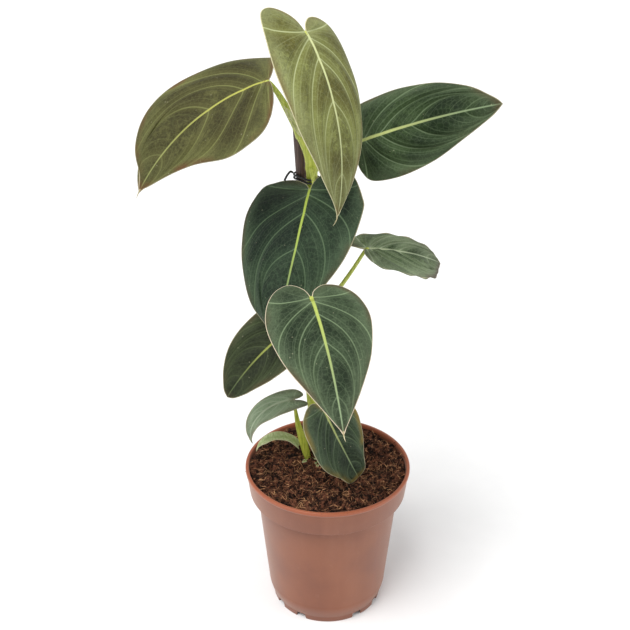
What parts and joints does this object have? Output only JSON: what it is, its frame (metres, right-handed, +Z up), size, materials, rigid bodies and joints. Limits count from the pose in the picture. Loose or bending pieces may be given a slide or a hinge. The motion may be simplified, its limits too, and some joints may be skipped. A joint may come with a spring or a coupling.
{
  "type": "potted philodendron",
  "caption": "Climbing philodendron with velvety heart-shaped leaves and pale veins, tied to a brown stake in a terracotta-coloured plastic nursery pot filled with soil.",
  "frame": {"origin": "middle of the pot's base, on the surface that the pot stands on", "axes": "+Z up along the pot's axis and the plant; the plant's best side faces -Y"},
  "size_m": [0.2223, 0.1967, 0.4415],
  "materials": {
    "pot": "matt terracotta-coloured plastic",
    "soil": "loose coir and peat",
    "stake": "dark brown satin stick",
    "stem": "smooth living stem",
    "stalk": "smooth living leaf stalk",
    "sheath": "pale papery sheath",
    "tie": "black coated wire",
    "leaf_green": "velvety dark green leaf",
    "leaf_olive": "velvety young olive leaf"
  },
  "bodies": {
    "root": {"pot": "pot", "soil": "soil", "stake": "stake", "main_stem": "stem", "side_shoot": "stem", "tie_loop_lower": "tie", "tie_loop_upper": "tie", "tie_end_left": "tie", "tie_end_right": "tie", "stalk_top": "stalk", "stalk_upper_left": "stalk", "stalk_upper_right": "stalk", "stalk_middle": "stalk", "stalk_front": "stalk", "stalk_lower_left": "stalk", "stalk_small_right": "stalk", "stalk_low_front": "stalk", "leaf_top": "leaf_olive", "leaf_upper_left": "leaf_olive", "leaf_upper_right": "leaf_green", "leaf_middle": "leaf_green", "leaf_front": "leaf_green", "leaf_lower_left": "leaf_green", "leaf_small_right": "leaf_green", "leaf_low_front": "leaf_green", "leaf_low_left": "leaf_green", "cataphyll": "sheath", "stalk_sheath": "sheath"}
  },
  "joints": []
}
